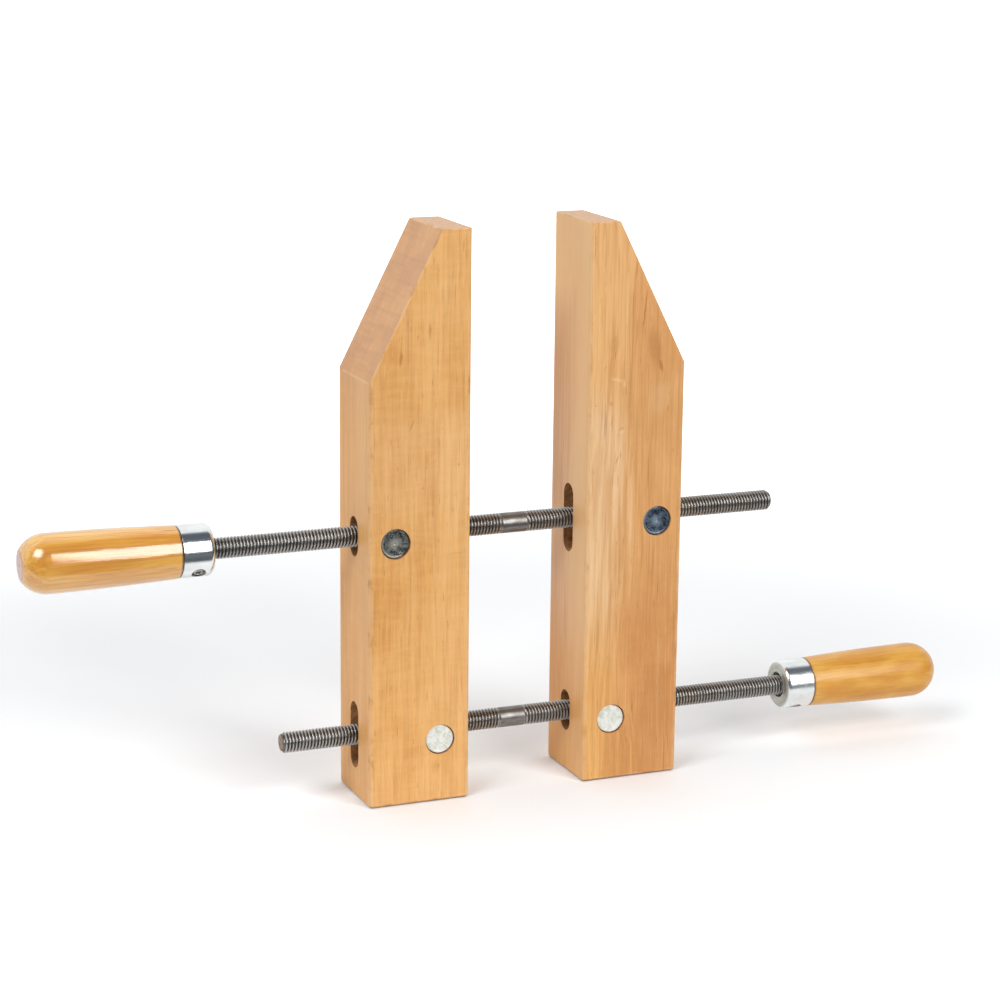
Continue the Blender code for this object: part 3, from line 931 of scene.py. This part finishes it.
def nut_finish(name, dark):
    """Turned end faces with rings, stains and scratches; dark blued or bright zinc. The blued faces
    get a painted highlight on the lower side of the rim.
    """
    f = Finish(name, metallic=0.75 if dark else 0.45)
    here = f.parts(f.here)
    radius = f.length(here[0], here[2])
    own = f.shift(f.node("ObjectInfo"), f.here)
    blotch = f.noise((300, 300, 300), (3, 3, 3), detail=5.0, rough=0.75, distortion=0.8, source=own)
    speck = f.noise((1100, 1100, 1100), (1, 7, 1), detail=3.0, rough=0.7, source=own)
    scratch = f.noise((260, 260, 2600), (2, 2, 6), detail=2.0, distortion=1.4, source=own)
    rings = f.math("SINE", f.product(radius, TAU / TURNING_PITCH))
    rim = f.step(radius, NUT_RADIUS - 1.5 * MM, NUT_RADIUS - 0.9 * MM)
    if dark:
        tone = f.blend(blotch, 0.42, 0.58, (0.026, 0.033, 0.043), (0.185, 0.203, 0.214))
        middle = f.product(f.step(radius, 4.6 * MM, 0.8 * MM),
                           f.step(blotch, 0.36, 0.56, 0.35, 0.9))
        tone = f.mix(middle, tone, (0.500, 0.505, 0.480))
        tone = f.tint(tone, (0.620, 0.630, 0.620), speck, 0.56, 0.68, 0.70)
        tone = f.tint(tone, (0.780, 0.785, 0.770), scratch, 0.62, 0.70, 0.80)
        tone = f.tint(tone, (0.040, 0.045, 0.055), rings, 0.2, 1.0, 0.22)
        # painted highlight: the rim is painted brighter on its lower side
        lit_lower_side = f.step(f.sum(here[0], here[2]), 2.0 * MM, -6.0 * MM, 0.10, 0.65)
        painted_rim_highlight = f.product(rim, lit_lower_side, f.step(blotch, 0.3, 0.5, 0.5, 1.0))
        tone = f.mix(painted_rim_highlight, tone, (0.600, 0.620, 0.620))
        jaw = f.parts(f.node("ObjectInfo"))[0]
        tone = f.mix(1.0, tone, f.blend(jaw, -10 * MM, 10 * MM, LEFT_BLUING, RIGHT_BLUING),
                     "MULTIPLY")
        f.set("Roughness", f.step(blotch, 0.3, 0.7, 0.34, 0.52))
    else:
        tone = f.blend(blotch, 0.40, 0.64, (0.900, 0.910, 0.850), (0.660, 0.685, 0.610))
        tone = f.tint(tone, (0.400, 0.370, 0.300), speck, 0.58, 0.74, 0.60)
        tone = f.tint(tone, (0.500, 0.490, 0.440), scratch, 0.68, 0.76, 0.45)
        tone = f.tint(tone, (0.400, 0.400, 0.370), rings, 0.3, 1.0, 0.12)
        f.set("Roughness", f.step(blotch, 0.3, 0.7, 0.40, 0.55))
    f.set("Base Color", tone)
    turned = f.bump(rings, 0.03, 0.30)
    f.set("Normal", f.bump(scratch, 0.05, 0.35, turned))
    return f.material


def zinc_finish(name, pin, worn):
    """Bright plated ferrule: drawing lines, scuffs, a duller front, painted shade round its pin."""
    f = Finish(name, metallic=1.0)
    here = f.parts(f.here)
    cloud = f.noise((90, 160, 160), detail=3.0, rough=0.6)
    scuff = f.noise((260, 900, 900), (4, 6, 1), detail=4.0, rough=0.7)
    drawn = f.noise((60, 1500, 1500), (2, 8, 5), detail=2.0)
    front = f.step(here[0], FERRULE_FACE + 1.2 * MM, FERRULE_FACE + 0.5 * MM)
    tone = f.blend(cloud, 0.35, 0.65, (0.880, 0.905, 0.905), (0.790, 0.825, 0.830))
    tone = f.tint(tone, (0.480, 0.500, 0.500), scuff, 0.62, 0.80, 0.35)
    dull = f.blend(cloud, 0.35, 0.65, (0.610, 0.625, 0.560), (0.500, 0.515, 0.460))
    tone = f.mix(front, tone, dull)
    aside = f.math("SUBTRACT", f.product(here[1], pin[2]), f.product(here[2], pin[1]))
    from_pin = f.length(aside, f.math("SUBTRACT", here[0], PIN_AT))
    # painted shade: a dark ring round the pin, in its countersink
    tone = f.tint(tone, (0.060, 0.058, 0.056), from_pin, 4.1 * MM, 3.5 * MM, 0.88)
    f.set("Base Color", tone)
    low = 0.19 if worn else 0.12
    f.set("Roughness", f.sum(f.step(cloud, 0.3, 0.7, low, low + 0.07),
                             f.step(scuff, 0.60, 0.80, 0.0, 0.16), f.product(front, 0.22)))
    lines = f.bump(drawn, 0.01, 0.20)
    f.set("Normal", f.bump(f.noise((70, 120, 120), (9, 1, 1), detail=2.0), 0.6, 0.10, lines))
    return f.material


def pin_finish():
    """Scuffed rivet steel."""
    f = Finish("pin_steel", metallic=1.0)
    worn = f.noise((700, 700, 700), detail=4.0, rough=0.65)
    tone = f.blend(worn, 0.35, 0.68, (0.60, 0.59, 0.57), (0.30, 0.29, 0.28))
    f.set("Base Color", tone)
    f.set("Roughness", f.step(worn, 0.3, 0.7, 0.22, 0.40))
    f.set("Normal", f.bump(worn, 0.04, 0.4))
    return f.material


# ---------------- assembly
maple = maple_finish()
glossy = varnish_finish("handle_varnish", worn=False)
dulled = varnish_finish("handle_varnish_dulled", worn=True)
steel = steel_finish()
blued = nut_finish("nut_blued", dark=True)
bright = nut_finish("nut_bright", dark=False)
rivet = pin_finish()


def settle(piece, body, slot, *nodes):
    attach(piece, body)
    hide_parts(*nodes)


for label, side in (("left", -1), ("right", 1)):
    settle(make_jaw(f"{label}_jaw_wood", side, maple), f"{label}_jaw", "jaw_maple", f"{label}_jaw")
    nut = make_nut(f"{label}_middle_cross_nut", side * MIDDLE_NUT, MIDDLE_HEIGHT, blued)
    settle(nut, f"{label}_middle_nut", "nut_blued", f"{label}_middle_nut")
    nut = make_nut(f"{label}_end_cross_nut", side * END_NUT, END_HEIGHT, bright)
    settle(nut, f"{label}_end_nut", "nut_bright", f"{label}_end_nut")

for label, toward, height, free, shift, angle, varnish in (
        ("middle", -1, MIDDLE_HEIGHT, MIDDLE_FREE, 0.0, MIDDLE_PIN_ANGLE, glossy),
        ("end", 1, END_HEIGHT, END_FREE, END_SHIFT, END_PIN_ANGLE, dulled)):
    grip = f"{label}_grip"
    inside = FERRULE_FACE + ROD_SOCKET + shift
    lengths = (inside, free) if toward < 0 else (free, inside)
    thread = make_thread(f"{label}_screw_thread", *lengths, steel)
    thread.location = (0, 0, height)
    settle(thread, grip, "spindle_steel", f"{label}_spindle")
    direction = across(angle, toward)
    worn = label == "end"
    zinc = zinc_finish("ferrule_zinc_dulled" if worn else "ferrule_zinc", direction, worn)
    pieces = (
        (make_ferrule(f"{label}_ferrule_cap", direction, zinc), "ferrule_zinc", f"{label}_ferrule"),
        (make_pin(f"{label}_rivet", direction, rivet), "pin_steel", f"{label}_ferrule_pin"),
        (make_handle(f"{label}_handle_wood", direction, varnish), "handle_varnish",
         f"{label}_handle"))
    for piece, slot, node in pieces:
        if toward < 0:
            piece.rotation_euler = (0, 0, math.pi)
        piece.location = (toward * shift, 0, height)
        settle(piece, grip, slot, node)

# ---------------- stage
WHITE = (1.0, 1.0, 1.0)
FLOOR_REACH = 14.0
FLOOR_COLOUR = (0.912, 0.920, 0.928)
FLOOR_GLOW = 0.07
GLOW_FROM, GLOW_TO = 0.34, 1.20     # distance over which the floor fades to white
DARK_FROM, DARK_TO = -0.14, -0.24   # the strip in front that only reflections see
DARK_COLOUR = (0.05, 0.06, 0.07)
DARK_SHARE = 0.6                    # how much of that strip scattered light sees
ROOM_DARK = (0.10, 0.115, 0.14)
LIGHT_TARGET = (0, 0, 0.1)
LIGHTS = (                          # name, centre, width, height, radiance, colour
    ("key", (0.735, -1.80, 1.15), 1.00, 1.50, 6.8, (1.0, 0.99, 0.97)),
    ("side", (-1.30, -0.75, 1.65), 1.00, 1.00, 7.2, (0.98, 0.99, 1.0)))
CAMERA_PLACE = (-0.5418, -1.2948, 0.4897)
CAMERA_HEADING = -0.3918
CAMERA_DOWN = 0.2343
CAMERA_ROLL = 0.0103
CAMERA_LENS = 97.58                 # on Blender's own 36 mm sensor


def floor_finish():
    """Pale and matt; it glows to white far out, and reflections see a dark strip in front."""
    f = Finish("pale_floor", roughness=0.7, specular_ior_level=0.1)
    rays = f.rays()
    spot = f.parts(f.here)
    far = f.step(f.length(spot[0], spot[1]), GLOW_FROM, GLOW_TO)
    unseen = f.math("MAXIMUM", rays["Is Glossy Ray"],
                    f.product(rays["Is Diffuse Ray"], DARK_SHARE))
    front = f.product(unseen, f.step(spot[1], DARK_FROM, DARK_TO))
    f.set("Base Color", f.mix(front, FLOOR_COLOUR, DARK_COLOUR))
    f.set("Emission Color", WHITE)
    f.set("Emission Strength", f.product(rays["Is Camera Ray"], f.sum(FLOOR_GLOW, far)))
    return f.material


def add_floor():
    bm = bmesh.new()
    bmesh.ops.create_grid(bm, x_segments=1, y_segments=1, size=FLOOR_REACH)
    link("pale_floor", mesh_of(bm, "pale_floor"), floor_finish())


def add_softbox(name, centre, width, height, radiance, colour):
    data = bpy.data.lights.new(name, "AREA")
    data.shape = "RECTANGLE"
    data.size, data.size_y = width, height
    data.energy = radiance * math.pi * width * height
    data.color = colour
    lamp = bpy.data.objects.new(name, data)
    bpy.context.scene.collection.objects.link(lamp)
    lamp.location = centre
    aim = Vector(LIGHT_TARGET) - Vector(centre)
    lamp.rotation_euler = aim.to_track_quat("-Z", "Y").to_euler()
    lamp.visible_camera = False


def add_room():
    """White to the camera; its front half is dark to everything else."""
    world = bpy.data.worlds.new("studio")
    bpy.context.scene.world = world
    world.use_nodes = True
    room = Nodes(world.node_tree)
    split = room.parts(room.where["Generated"])
    lean = room.math("ARCTAN2", split[1], split[2])
    shade = room.mix(room.step(lean, 0.0, 0.25), ROOM_DARK, WHITE)
    seen = room.mix(room.rays()["Is Camera Ray"], shade, WHITE)
    room.plug(room.tree.nodes["Background"].inputs[0], seen)


def add_camera():
    camera = bpy.data.objects.new("camera", bpy.data.cameras.new("camera"))
    camera.data.lens = CAMERA_LENS
    bpy.context.scene.collection.objects.link(camera)
    camera.matrix_world = (Matrix.Translation(CAMERA_PLACE)
                           @ Matrix.Rotation(CAMERA_HEADING, 4, "Z")
                           @ Matrix.Rotation(math.pi / 2 - CAMERA_DOWN, 4, "X")
                           @ Matrix.Rotation(CAMERA_ROLL, 4, "Z"))
    bpy.context.scene.camera = camera


add_floor()
for light in LIGHTS:
    add_softbox(*light)
add_room()
add_camera()
bpy.context.scene.view_settings.view_transform = "Standard"
